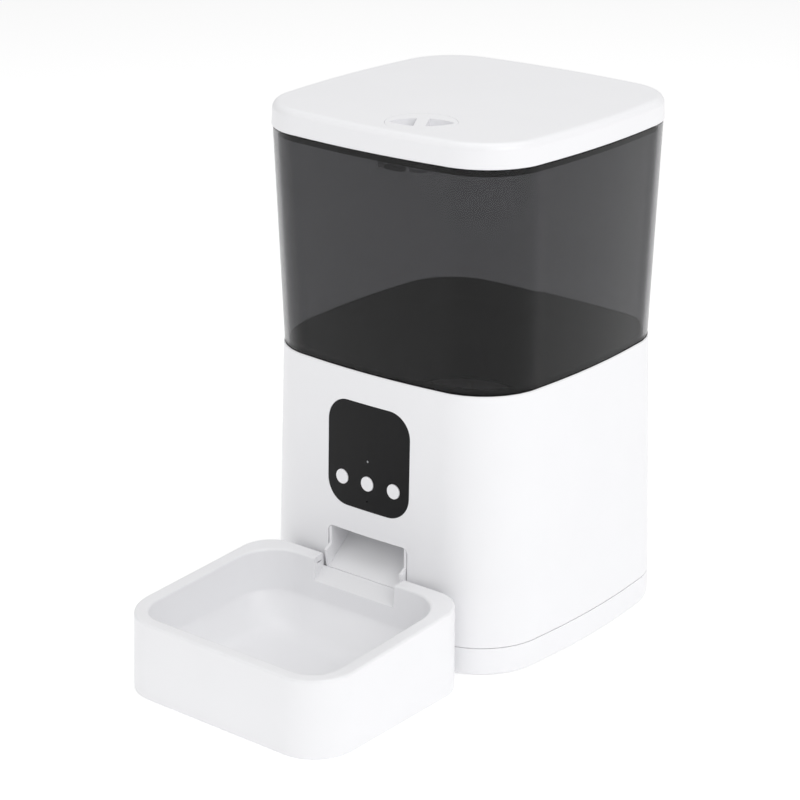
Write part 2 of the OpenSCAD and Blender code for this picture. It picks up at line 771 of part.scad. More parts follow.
module lock_knob() {
    half_l = 18.8;
    half_w = 9.2;
    arc_r = (half_l * half_l + half_w * half_w) / (2 * half_w);
    color("white") at_knob(0) difference() {
        union() {
            translate([0, 0, lid_top - 7.9]) cylinder(r = knob_r, h = 7.9);
            translate([0, 0, tongue_z]) cylinder(r = 5, h = lid_top - tongue_z - 7);
        }
        difference() {
            translate([0, 0, lid_top - 5.5]) intersection() {
                translate([0, arc_r - half_w, 0]) cylinder(r = arc_r, h = 8);
                translate([0, half_w - arc_r, 0]) cylinder(r = arc_r, h = 8);
            }
            translate([-3.4, -12, lid_top - 6]) cube([6.8, 24, 6]);
        }
        translate([0, 0, tongue_z - through]) cylinder(r = 1.55, h = 13);
    }
}

module lock_tongue() {
    color("white") at_knob(tongue_z) difference() {
        union() {
            cylinder(r = 7.4, h = 4);
            translate([-23.5, -4, 0]) cube([23.5, 8, 2.5]);
        }
        translate([0, 0, -through]) cylinder(r = 5 + seated, h = 8);
    }
}

module lock_screw() {
    color("silver") at_knob(0) screw(0, 0, tongue_z - 2.1, 6.4, 2.05, 1.5, 11);
}

module desiccant_cup() {
    color("white") at_body() translate([cup_at[0], cup_at[1], 289.5]) difference() {
        union() {
            cylinder(r = cup_r, h = 22);
            translate([0, 0, 10.2]) cylinder(r = cup_r + 3.4, h = 2);
        }
        translate([0, 0, 1.6]) cylinder(r = cup_r - 1.6, h = 30);
        for (i = [-3:3]) translate([i * 5.6 - 1.3, -sqrt(360 - 31 * i * i), -through]) cube([2.6,
            2 * sqrt(360 - 31 * i * i), 4]);
    }
}

// ---- bowl ----

bowl_hx = bowl_w / 2;
bowl_rf = 27;
bowl_rb = 21;
bowl_tilt = (bowl_back_h - bowl_front_h) / bowl_l;
notch_half = 30.3;

function rim_z(y) = bowl_back_h + (y + bowl_back) * bowl_tilt;
// A ring of the bowl's outside at height f of the rim, from 0 at the floor
function bowl_outer(f, inset = 0) = [for (p = outline(bowl_hx - inset, -bowl_front + 2 * f + inset,
    -bowl_back - inset,
        bowl_rf - inset, bowl_rb - inset, 0.7)) [p[0], p[1], f * rim_z(p[1])]];
// A ring of the bowl's inside, inset from the inner rim and dropped below it
function bowl_inner(inset, drop, r_more = 0) = [for (p = outline(69 - inset, -218.2 + inset,
    -106.5 - inset,
        18.5 + r_more, 24.5 + r_more, 0.7)) [p[0], p[1], rim_z(p[1]) - drop]];
function bowl_floor(inset, z) = [for (p = outline(69 - inset, -218.2 + inset, -106.5 - inset, 22, 24,
    0.4)) [p[0], p[1], z]];

module bowl() {
    color("white") at_body() difference() {
        union() {
            // from the middle of the hollow underside, out over the skirt and the rim, to the middle of the floor
            loft([bowl_floor(24, 5.6), bowl_floor(15, 7.2), bowl_floor(5.5, 14), bowl_inner(-1, 24),
                bowl_inner(-2.6, 3.5),
                bowl_outer(0.93, 2.6), bowl_outer(0, 2.6), bowl_outer(0), bowl_outer(1), bowl_inner(-1.4,
                    0), bowl_inner(0, 1.6),
                bowl_inner(1.6, 24), bowl_floor(8, 16), bowl_floor(17, 9.4), bowl_floor(24, 8)]);
            // body of the spout rest
            translate([-notch_half - 2.4, -bowl_back - 9.6, 30]) cube([2 * notch_half + 4.8, 9.6, 18]);
        }
        across(2 * notch_half) polygon([[-120, 31.8], [-bowl_back - 9.5, 38.9], [-bowl_back, 44.4],
            [-bowl_back + 5, 44.4],
            [-bowl_back + 5, 70], [-120, 70]]);
    }
}

// ---- fasteners and leads ----

module housing_screws() {
    color("silver") at_body() four(screw_at) screw(0, 0, 1.6, 3.4, 2.3, 1.5, 40);
}

module gearbox_screws() {
    color("silver") at_rotor() for (p = pillars) screw(p[0], p[1], plate_z - 2.05, 3, 2, 1.4, 14);
}

module motor_screws() {
    color("silver") at_body() for (sx = [-1, 1]) translate([sx * 12.5, motor_y, plate_z + plate_t + 2.05])
        rotate([180, 0, 0]) screw(0, 0, 0, 2.5, 2, 1.2, 9);
}

module chamber_screws() {
    color("silver") at_rotor(throat_z - 1.3 - 2.8 - 2.05) for (a = [45:90:315]) rotate(a)
        screw(flange_screw_r, 0, 0, 2.8, 2, 1.3, 6);
}

module board_screws() {
    color("silver") {
        at_panel() for (sx = [-1, 1], sz = [-1, 1]) translate([sx * 25, board_y + 3.65, sz * 26])
            rotate([90, 0, 0]) screw(0, 0, 0, 2.2, 2, 1, 5);
        at_body() for (y = [-8, 42], z = [57, 99]) translate([-78.3, y, z]) rotate([0, -90, 0]) screw(0,
            0, 0, 2.2, 2, 1, 5);
    }
}

lead_r = 1.3;

module motor_lead() {
    color("firebrick") at_body() for (sx = [-1, 1]) wire(smooth([[sx * 9, motor_y, 16.5], [sx * 9,
        motor_y + sx, 10],
        [-20 + sx * 5, 33 + sx * 3, 8.5], [-40, 33 + sx * 3, 12], [-56, 32 + sx * 2.6, 22], [-67,
            31 + sx * 2.5, 40],
        [-76, 31 + sx * 2.5, 52], [-77.4, 31 + sx * 2.5, 59.5]]), lead_r);
}

module panel_lead() {
    color("dimgray") at_body() for (i = [-1:1]) wire(smooth([[i * 4, -76.4, 134], [i * 4, -70, 134],
        [i * 1.5 - 12, -66, 131 + i * 3],
        [-30, -66, 124 + i * 3.4], [-54, -57, 108 + i * 3.4], [-67, -38, 90 + i * 3.4], [-70, -14,
            76 + i * 3.4],
        [-72.5, -2, 70 + i * 3.4], [-77.9, -2, 70 + i * 3.4]]), 1);
}

module power_lead() {
    color("black") at_body() for (sx = [-1, 1]) wire(smooth([[usb[0] + sx * 3, 78.7, 33.2],
        [usb[0] + sx * 3, 72, 33.2],
        [-40 + sx * 1.5, 66, 34 + sx * 2], [-56, 60, 36 + sx * 2.4], [-72, 44, 41 + sx * 2.4], [-78,
            28 + sx, 43 + sx * 2],
        [-77.9, 16 + sx * 2, 47], [-77.9, 16 + sx * 2, 53.5]]), lead_r);
}

module battery_lead() {
    color("firebrick") at_body() for (sx = [-1, 1]) wire(smooth([[-54.8, -58 + sx * 3, 30], [-61,
        -58 + sx * 3, 30],
        [-69, -48 + sx, 33 + sx * 2], [-73, -28, 38 + sx * 2.4], [-77, -8, 42 + sx * 2.4], [-77.9,
            3 - sx * 2, 47],
        [-77.9, 3 - sx * 2, 53.5]]), lead_r);
}

module speaker_lead() {
    color("dimgray") at_body() for (sx = [-1, 1]) wire(smooth([[40.5, 48 + sx * 2, 8], [34, 50 + sx * 2,
        8], [8, 57 + sx * 2, 8],
        [-30, 60 + sx * 2, 9], [-60, 58 + sx, 20 + sx * 2], [-73, 50, 42 + sx * 2.4], [-77, 42 + sx * 2,
            62],
        [-77.9, 42 + sx * 2, 69.8]]), 1);
}

base_tray();
rubber_feet();
battery_door();
battery_bay();
battery_contacts();
lower_shell();
control_panel();
button_left();
button_middle();
button_right();
status_lens();
microphone();
panel_board();
tact_switches();
main_board();
speaker();
usb_inlet();
chute();
rotor_chamber();
rotor();
rotor_shaft();
shaft_clip();
chamber_bush();
plate_bush();
drive_gear();
motor_pinion();
motor_shaft();
gear_motor();
gear_plate();
wiper();
funnel();
tank_seal();
tank();
lock_keeper();
lid();
lid_gasket();
lock_knob();
lock_tongue();
lock_screw();
desiccant_cup();
bowl();
housing_screws();
gearbox_screws();
motor_screws();
chamber_screws();
board_screws();
motor_lead();
panel_lead();
power_lead();
battery_lead();
speaker_lead();
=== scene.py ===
"""Looks of an automatic pet feeder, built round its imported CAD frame.

Everything is in metres in the CAD frame: +Z up, the front faces -Y, and the floor is at zero.
Sizes in the classes are millimetres and are turned to metres where a shape is added.
"""

import json
import logging
import math
from dataclasses import dataclass, field
from enum import Enum
from typing import Callable, Sequence

import bmesh
import bpy
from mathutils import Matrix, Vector

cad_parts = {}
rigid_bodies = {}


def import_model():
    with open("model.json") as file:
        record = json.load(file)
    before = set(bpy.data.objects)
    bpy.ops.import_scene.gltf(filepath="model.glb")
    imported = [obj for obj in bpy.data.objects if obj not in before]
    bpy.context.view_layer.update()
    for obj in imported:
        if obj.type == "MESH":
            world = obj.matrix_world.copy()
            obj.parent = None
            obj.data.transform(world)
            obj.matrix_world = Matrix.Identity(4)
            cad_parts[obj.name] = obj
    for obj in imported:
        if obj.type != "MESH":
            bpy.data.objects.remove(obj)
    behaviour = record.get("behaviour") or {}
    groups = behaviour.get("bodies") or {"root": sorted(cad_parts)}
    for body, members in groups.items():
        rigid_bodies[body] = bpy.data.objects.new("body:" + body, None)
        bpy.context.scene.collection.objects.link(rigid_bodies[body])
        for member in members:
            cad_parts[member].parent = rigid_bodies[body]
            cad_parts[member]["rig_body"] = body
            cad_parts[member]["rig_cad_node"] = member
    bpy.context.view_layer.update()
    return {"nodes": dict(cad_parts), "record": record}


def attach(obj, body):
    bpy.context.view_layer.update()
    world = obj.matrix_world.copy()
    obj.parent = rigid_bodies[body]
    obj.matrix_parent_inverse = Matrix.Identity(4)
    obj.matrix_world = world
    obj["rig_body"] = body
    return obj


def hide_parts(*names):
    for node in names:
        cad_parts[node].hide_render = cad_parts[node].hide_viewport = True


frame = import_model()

MM = 0.001
LOG = logging.getLogger("feeder")


# ---- shaping tools ----


class Join(Enum):
    """How one shape acts on another."""

    CUT = "DIFFERENCE"
    ADD = "UNION"


@dataclass(frozen=True)
class Ring:
    """A level outline with rounded corners; its sides may bow out and it may tip towards the front.

    Sizes are millimetres; front and back are the corner radii there, and slope is rise over run along Y.
    """

    z: float
    half_x: float
    half_y: float
    front: float
    back: float
    y: float = 0.0
    bow: float = 0.0
    slope: float = 0.0


class Bench:
    """The modelling steps that the pieces share.

    Attributes:
        ARC: facets round a ring's corner.
        CUTS: points along a ring's side, odd so that one stands in its middle.
        APART: distance in metres between rings while they are bridged.
        SAME: distance in metres below which two places along an axis are the same.
    """

    ARC: int = 16
    CUTS: int = 23
    APART: float = 0.05
    SAME: float = 1e-7

    @staticmethod
    def clear() -> None:
        """Leaves edit mode with nothing selected."""
        if bpy.context.mode != "OBJECT":
            bpy.ops.object.mode_set(mode="OBJECT")
        bpy.ops.object.select_all(action="DESELECT")

    @classmethod
    def activate(cls, piece: bpy.types.Object) -> None:
        """Makes one piece the only selected and the active one.

        Args:
            piece: the piece.
        """
        cls.clear()
        piece.select_set(True)
        bpy.context.view_layer.objects.active = piece

    @classmethod
    def edit(cls, piece: bpy.types.Object, kind: str = "EDGE") -> None:
        """Opens a piece for editing with nothing selected.

        Args:
            piece: the piece.
            kind: what is picked, VERT, EDGE or FACE.
        """
        cls.activate(piece)
        bpy.ops.object.mode_set(mode="EDIT")
        bpy.ops.mesh.select_mode(type=kind)
        bpy.ops.mesh.select_all(action="DESELECT")

    @classmethod
    def pick(cls, piece: bpy.types.Object, kind: str, test: Callable[..., bool]) -> int:
        """Selects the vertices, edges or faces of an opened piece that pass a test.

        Args:
            piece: the piece, in edit mode.
            kind: VERT, EDGE or FACE.
            test: says whether an element is wanted.

        Returns:
            How many are selected.
        """
        bpy.ops.mesh.select_mode(type=kind)
        bpy.ops.mesh.select_all(action="DESELECT")
        mesh = bmesh.from_edit_mesh(piece.data)
        group = {"VERT": mesh.verts, "EDGE": mesh.edges, "FACE": mesh.faces}[kind]
        count = 0
        for item in group:
            if test(item):
                item.select_set(True)
                count += 1
        mesh.select_flush_mode()
        bmesh.update_edit_mesh(piece.data)
        return count

    @classmethod
    def ring(cls, spec: Ring) -> bpy.types.Object:
        """Draws a ring as a loop of edges.

        Args:
            spec: the ring's sizes.

        Returns:
            The loop as an object of its own.
        """
        centre = Vector((0, spec.y, spec.z)) * MM
        cls.clear()
        bpy.ops.mesh.primitive_plane_add(size=2 * MM, location=centre)
        piece = bpy.context.object
        bpy.ops.object.transform_apply(location=True, rotation=True, scale=True)
        bpy.ops.object.mode_set(mode="EDIT")
        bpy.ops.mesh.select_all(action="SELECT")
        bpy.ops.transform.resize(
            value=(spec.half_x - spec.bow, spec.half_y - spec.bow, 1), center_override=centre)
        for radius, sign in ((spec.front, -1), (spec.back, 1)):
            cls.pick(piece, "VERT", lambda v: sign * (v.co.y - centre.y) > 0)
            bpy.ops.mesh.bevel(
                offset=radius * MM, offset_type="OFFSET", segments=cls.ARC, profile=0.5, affect="VERTICES")
        bpy.ops.mesh.select_all(action="SELECT")
        bpy.ops.mesh.delete(type="ONLY_FACE")
        cls.pick(piece, "EDGE", lambda e: min(
            abs(e.verts[0].co.x - e.verts[1].co.x), abs(e.verts[0].co.y - e.verts[1].co.y)) < cls.SAME)
        bpy.ops.mesh.subdivide(number_cuts=cls.CUTS)
        if spec.bow:
            span = (min(spec.half_x, spec.half_y) - spec.bow - spec.front) * MM
            for dx, dy in ((1, 0), (-1, 0), (0, 1), (0, -1)):
                far = Vector((dx * (spec.half_x - spec.bow), dy * (spec.half_y - spec.bow), 0)) * MM + centre
                cls.pick(piece, "VERT", lambda v: (v.co - far).length < 0.05 * MM)
                bpy.ops.transform.translate(
                    value=(dx * spec.bow * MM, dy * spec.bow * MM, 0), use_proportional_edit=True,
                    proportional_edit_falloff="INVERSE_SQUARE", proportional_size=span)
        if spec.slope:
            bpy.ops.mesh.select_all(action="SELECT")
            bpy.ops.transform.rotate(
                value=-math.atan(spec.slope), orient_axis="X", center_override=centre)
        bpy.ops.object.mode_set(mode="OBJECT")
        return piece

    @classmethod
    def loft(cls, name: str, rings: Sequence[bpy.types.Object], closed: bool) -> bpy.types.Object:
        """Skins a row of rings.

        Args:
            name: the new piece's name.
            rings: loops with the same number of points.
            closed: True joins the last ring to the first; False caps both.

        Returns:
            The piece, with its faces outwards.
        """
        size = len(rings[0].data.vertices)
        cls.activate(rings[0])
        # the rings are bridged while they stand apart, so that each pair lines up, and then closed again
        for step, ring in enumerate(rings):
            ring.location.z += step * cls.APART
            ring.select_set(True)
        bpy.ops.object.join()
        piece = bpy.context.object
        piece.name = name
        cls.edit(piece)
        count = len(rings)
        pairs = [(j, (j + 1) % count) for j in range(count if closed else count - 1)]
        for low, high in pairs:
            cls.pick(piece, "EDGE", lambda e: e.verts[0].index // size == e.verts[1].index // size
                     and e.verts[0].index // size in (low, high))
            bpy.ops.mesh.bridge_edge_loops(type="PAIRS", use_merge=False)
        for end in () if closed else (0, count - 1):
            cls.pick(piece, "EDGE", lambda e: all(v.index // size == end for v in e.verts))
            bpy.ops.mesh.edge_face_add()
        for step in range(1, count):
            cls.pick(piece, "VERT", lambda v: v.index // size == step)
            bpy.ops.transform.translate(value=(0, 0, -step * cls.APART))
        bpy.ops.mesh.select_all(action="SELECT")
        bpy.ops.mesh.normals_make_consistent(inside=False)
        cls.clear()
        return piece

    @classmethod
    def block(cls, centre: Sequence[float], size: Sequence[float], radius: float = 0.0, along: int = 1,
              lean: float = 0.0) -> bpy.types.Object:
        """Adds a block whose edges along one axis are rounded.

        Args:
            centre: its middle in millimetres.
            size: its three sides in millimetres.
            radius: radius of the rounded edges; 0 leaves them sharp.
            along: the axis that the rounded edges run along, 0 for X, 1 for Y, 2 for Z.
            lean: turn about X in radians.

        Returns:
            The block.
        """
        cls.clear()
        bpy.ops.mesh.primitive_cube_add(
            size=1, location=Vector(centre) * MM, rotation=(lean, 0, 0), scale=Vector(size) * MM)
        piece = bpy.context.object
        bpy.ops.object.transform_apply(location=False, rotation=False, scale=True)
        if radius:
            cls.edit(piece)
            others = [k for k in range(3) if k != along]
            cls.pick(piece, "EDGE", lambda e: all(
                abs(e.verts[0].co[k] - e.verts[1].co[k]) < cls.SAME for k in others))
            bpy.ops.mesh.bevel(offset=radius * MM, segments=12, affect="EDGES")
            cls.clear()
            cls.activate(piece)
        bpy.ops.object.transform_apply(location=True, rotation=True, scale=True)
        return piece

    @classmethod
    def disc(cls, centre: Sequence[float], radius: float, height: float) -> bpy.types.Object:
        """Adds an upright cylinder.

        Args:
            centre: its middle in millimetres.
            radius: its radius in millimetres.
            height: its height in millimetres.

        Returns:
            The cylinder.
        """
        cls.clear()
        bpy.ops.mesh.primitive_cylinder_add(
            vertices=96, radius=radius * MM, depth=height * MM, location=Vector(centre) * MM)
        bpy.ops.object.transform_apply(location=True, rotation=True, scale=True)
        return bpy.context.object

    @classmethod
    def combine(cls, piece: bpy.types.Object, tool: bpy.types.Object, how: Join) -> None:
        """Cuts a shape out of a piece or adds it, and removes the tool.

        Args:
            piece: the piece that stays.
            tool: the other shape.
            how: whether it is cut out or added.
        """
        cls.activate(piece)
        bpy.ops.object.modifier_add(type="BOOLEAN")
        modifier = piece.modifiers[-1]
        modifier.operation = how.value
        modifier.solver = "EXACT"
        modifier.object = tool
        bpy.ops.object.modifier_apply(modifier=modifier.name)
        bpy.data.objects.remove(tool)

    @classmethod
    def soften(cls, piece: bpy.types.Object, width: float, angle: float = 35.0) -> None:
        """Rounds every edge sharper than an angle, as a mould leaves it.

        Args:
            piece: the piece.
            width: width of the rounding in millimetres.
            angle: the least turn between two faces, in degrees.
        """
        cls.activate(piece)
        bpy.ops.object.modifier_add(type="BEVEL")
        modifier = piece.modifiers[-1]
        modifier.width = width * MM
        modifier.segments = 3
        modifier.limit_method = "ANGLE"
        modifier.angle_limit = math.radians(angle)
        modifier.use_clamp_overlap = True
        modifier.harden_normals = False
        bpy.ops.object.modifier_apply(modifier=modifier.name)

    @classmethod
    def shade(cls, piece: bpy.types.Object, angle: float = 40.0) -> None:
        """Shades a piece smooth, leaning on its larger faces.

        Args:
            piece: the piece.
            angle: the turn between two faces in degrees above which an edge stays sharp.
        """
        cls.activate(piece)
        bpy.ops.object.shade_smooth_by_angle(angle=math.radians(angle))
        bpy.ops.object.modifier_add(type="WEIGHTED_NORMAL")
        modifier = piece.modifiers[-1]
        modifier.keep_sharp = True
        bpy.ops.object.modifier_apply(modifier=modifier.name)

    @classmethod
    def from_node(cls, node: str, width: float, flatten: bool = True) -> bpy.types.Object:
        """Works up a copy of a CAD node: faces merged, moulded edges rounded, shading smoothed.

        Args:
            node: the CAD node.
            width: width of the rounded edges in millimetres; 0 leaves them sharp.
            flatten: True clears the edges inside flat faces first.

        Returns:
            The piece.
        """
        cls.activate(frame["nodes"][node])
        bpy.ops.object.duplicate()
        piece = bpy.context.object
        piece.name = node + "_finished"
        piece.parent = None
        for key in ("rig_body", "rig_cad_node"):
            if key in piece:
                del piece[key]
        piece.data.materials.clear()
        cls.edit(piece, "VERT")
        bpy.ops.mesh.select_all(action="SELECT")
        if piece.data.has_custom_normals:
            bpy.ops.mesh.customdata_custom_splitnormals_clear()
        bpy.ops.mesh.remove_doubles(threshold=0.002 * MM)
        if flatten:
            bpy.ops.mesh.dissolve_limited(angle_limit=math.radians(0.6))
        bpy.ops.mesh.normals_make_consistent(inside=False)
        cls.clear()
        if width:
            cls.soften(piece, width)
        cls.shade(piece)
        return piece


# ---- finishes ----


def linear(colour: str) -> tuple[float, float, float, float]:
    """Turns an sRGB hex colour into linear RGBA.

    Args:
        colour: the colour, such as "f4f4f5".

    Returns:
        Its linear channels, with alpha 1.
    """
    channels = [int(colour[k:k + 2], 16) / 255 for k in (0, 2, 4)]
    return (*(c / 12.92 if c <= 0.04045 else ((c + 0.055) / 1.055) ** 2.4 for c in channels), 1.0)


def add_node(tree: bpy.types.NodeTree, kind: str, settings: dict | None = None,
             inputs: dict | None = None) -> bpy.types.Node:
    """Adds a shader node.

    Args:
        tree: the material's node tree.
        kind: the node's type.
        settings: properties of the node.
        inputs: values for its sockets, or sockets of other nodes to link to them.

    Returns:
        The node.
    """
    node = tree.nodes.new(kind)
    for key, value in (settings or {}).items():
        setattr(node, key, value)
    for key, value in (inputs or {}).items():
        if isinstance(value, bpy.types.NodeSocket):
            tree.links.new(value, node.inputs[key])
        else:
            node.inputs[key].default_value = value
    return node


class Texture(Enum):
    """What the surface shows close up."""

    MOTTLE = "the faint cloud and fine grain of a moulded surface"
    BRUSH = "fine lines along X left by drawing or rolling"
    MASK = "copper runs under solder mask"


@dataclass(frozen=True)
class Finish:
    """A real material and how its surface was made.

    Attributes:
        name: the material's name.
        light, dark: the two sRGB colours that it varies between.
        rough, spread: mean roughness and how far it varies.
        grain: size of the surface grain in millimetres.
        depth: depth of the grain in millimetres.
        metallic, ior, clear, gloss: shader constants.
        texture: what the surface shows close up.
    """

    name: str
    light: str
    dark: str
    rough: float
    spread: float = 0.04
    grain: float = 0.5
    depth: float = 0.004
    metallic: float = 0.0
    ior: float = 1.5
    clear: float = 0.0
    gloss: float = 0.5
    texture: Texture = Texture.MOTTLE

    def make(self) -> bpy.types.Material:
        """Builds the material, or returns it if it is there already."""
        made = bpy.data.materials.get(self.name)
        if made:
            return made
        material = bpy.data.materials.new(self.name)
        material.use_nodes = True
        tree = material.node_tree
        tree.nodes.clear()
        place = add_node(tree, "ShaderNodeTexCoord").outputs["Object"]
        if self.texture is Texture.BRUSH:
            place = add_node(tree, "ShaderNodeMapping", inputs={
                "Vector": place, "Scale": (0.08, 1.0, 1.0)}).outputs["Vector"]
        fine = add_node(tree, "ShaderNodeTexNoise", inputs={
            "Vector": place, "Scale": 1 / (self.grain * MM), "Detail": 3.0})
        # a slow change of tone over some 40 mm, as cooling in the mould leaves
        broad = add_node(tree, "ShaderNodeTexNoise", inputs={"Vector": place, "Scale": 25.0, "Detail": 2.0})
        tone = broad.outputs["Fac"]
        if self.texture is Texture.MASK:
            # copper runs some 4 mm apart
            runs = add_node(tree, "ShaderNodeTexVoronoi", {"feature": "F1", "distance": "MANHATTAN"}, {
                "Vector": place, "Scale": 260.0})
            tone = add_node(tree, "ShaderNodeMath", {"operation": "GREATER_THAN"}, {
                0: runs.outputs["Distance"], 1: 0.55}).outputs[0]
        # the mixer's colour sockets are 6 and 7, and its colour comes out at 2
        colour = add_node(tree, "ShaderNodeMix", {"data_type": "RGBA"}, {
            0: tone, 6: linear(self.dark), 7: linear(self.light)})
        sheen = add_node(tree, "ShaderNodeMapRange", inputs={
            "Value": fine.outputs["Fac"], "From Min": 0.3, "From Max": 0.7,
            "To Min": self.rough - self.spread, "To Max": self.rough + self.spread})
        bump = add_node(tree, "ShaderNodeBump", inputs={
            "Height": fine.outputs["Fac"], "Strength": 0.5, "Distance": self.depth * MM})
        shader = add_node(tree, "ShaderNodeBsdfPrincipled", inputs={
            "Base Color": colour.outputs[2], "Roughness": sheen.outputs["Result"], "Normal": bump.outputs["Normal"],
            "Metallic": self.metallic, "IOR": self.ior, "Transmission Weight": self.clear,
            "Specular IOR Level": self.gloss})
        add_node(tree, "ShaderNodeOutputMaterial", inputs={"Surface": shader.outputs["BSDF"]})
        return material


# Injection-moulded ABS with a satin sheen: a soft white that takes broad, gentle highlights.
MOULDED_ABS = Finish("satin_moulded_abs", "f1f1f3", "eeeef0", 0.34, 0.05, 0.45, 0.004, ior=1.53)
# Smoke-tinted clear SAN: the inside shows through darkly, and the skin is glossy.
SMOKED_SAN = Finish("smoked_clear_san", "7c7c7e", "7a7a7c", 0.025, 0.005, 0.9, 0.0001, ior=1.3, clear=1.0, gloss=0.3)
# Spark-eroded black ABS: matte, with a fine grain.
BLACK_ABS = Finish("spark_eroded_black_abs", "111112", "0e0e0f", 0.46, 0.08, 0.4, 0.008, ior=1.5, gloss=0.2)
# Moulded silicone rubber: black, soft and without gloss.
SILICONE = Finish("moulded_silicone", "0f0f0f", "0c0c0c", 0.6, 0.06, 0.4, 0.008, ior=1.41, gloss=0.2)
# Moulded thermoplastic rubber of the feet: dark grey and matte.
RUBBER = Finish("moulded_rubber", "3a3a3b", "313132", 0.72, 0.06, 0.5, 0.015)
# Zinc-plated steel, drawn or rolled: bright with fine lines.
ZINC_STEEL = Finish("zinc_plated_steel", "c6c7ca", "b4b5b8", 0.32, 0.08, 0.3, 0.003, 1.0, texture=Texture.BRUSH)
# Sintered bronze: dull golden brown with open pores.
BRONZE = Finish("sintered_bronze", "a97b45", "8d6435", 0.45, 0.1, 0.35, 0.012, 1.0)
# Epoxy glass board under green solder mask, its copper showing as a lighter net.
BOARD = Finish("solder_masked_epoxy_glass", "1d6b3a", "14522c", 0.3, 0.05, 0.5, 0.004, texture=Texture.MASK)
# Extruded PVC insulation: black with a dull shine.
PVC = Finish("extruded_pvc_insulation", "26262a", "202023", 0.45, 0.05, 0.6, 0.004)
# Natural acetal of the gears and the rotor: milky white and a little waxy.
ACETAL = Finish("natural_acetal", "efeee8", "e7e5dd", 0.38, 0.05, 0.5, 0.004, ior=1.48)
# Clear polycarbonate of the light guide.
CLEAR_PC = Finish("clear_polycarbonate", "e4e6ea", "dcdee2", 0.08, 0.02, 0.6, 0.001, ior=1.58, clear=0.6)

SLOT_FINISH: dict[str, Finish] = {
    "white_abs": MOULDED_ABS, "smoky_tank": SMOKED_SAN, "black_plastic": BLACK_ABS, "black_silicone": SILICONE,
    "rubber_foot": RUBBER, "circuit_board": BOARD, "steel": ZINC_STEEL, "bronze_bush": BRONZE, "cable": PVC,
    "clear_lens": CLEAR_PC, "acetal": ACETAL}


# ---- the feeder ----


@dataclass
class SubAssembly:
    """What every sub-assembly has.

    Attributes:
        centre_y: the body's centre line along Y, in millimetres.
        made: the names of the pieces made so far.
    """

    centre_y: float = 65.75
    made: list[str] = field(default_factory=list)

    def settle(self, piece: bpy.types.Object, node: str, body: str, slot: str) -> bpy.types.Object:
        """Gives a finished piece its finish and its body, and hides the CAD node that it stands for.

        Args:
            piece: the finished piece.
            node: the CAD node that it replaces.
            body: the CAD body that it rides on.
            slot: the record's material slot.

        Returns:
            The piece.
        """
        Bench.clear()
        piece.data.materials.clear()
        piece.data.materials.append(SLOT_FINISH[slot].make())
        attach(piece, body)
        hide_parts(node)
        self.made.append(piece.name)
        LOG.info("%s: %d faces", piece.name, len(piece.data.polygons))
        return piece

    def work_up(self, node: str, body: str, slot: str, width: float, flatten: bool = True) -> bpy.types.Object:
        """Works up a CAD node's copy with rounded edges and settles it.

        Args:
            node: the CAD node.
            body: the CAD body that it rides on.
            slot: the record's material slot.
            width: width of the rounded edges in millimetres.
            flatten: True clears the edges inside flat faces first.

        Returns:
            The piece.
        """
        return self.settle(Bench.from_node(node, width, flatten), node, body, slot)


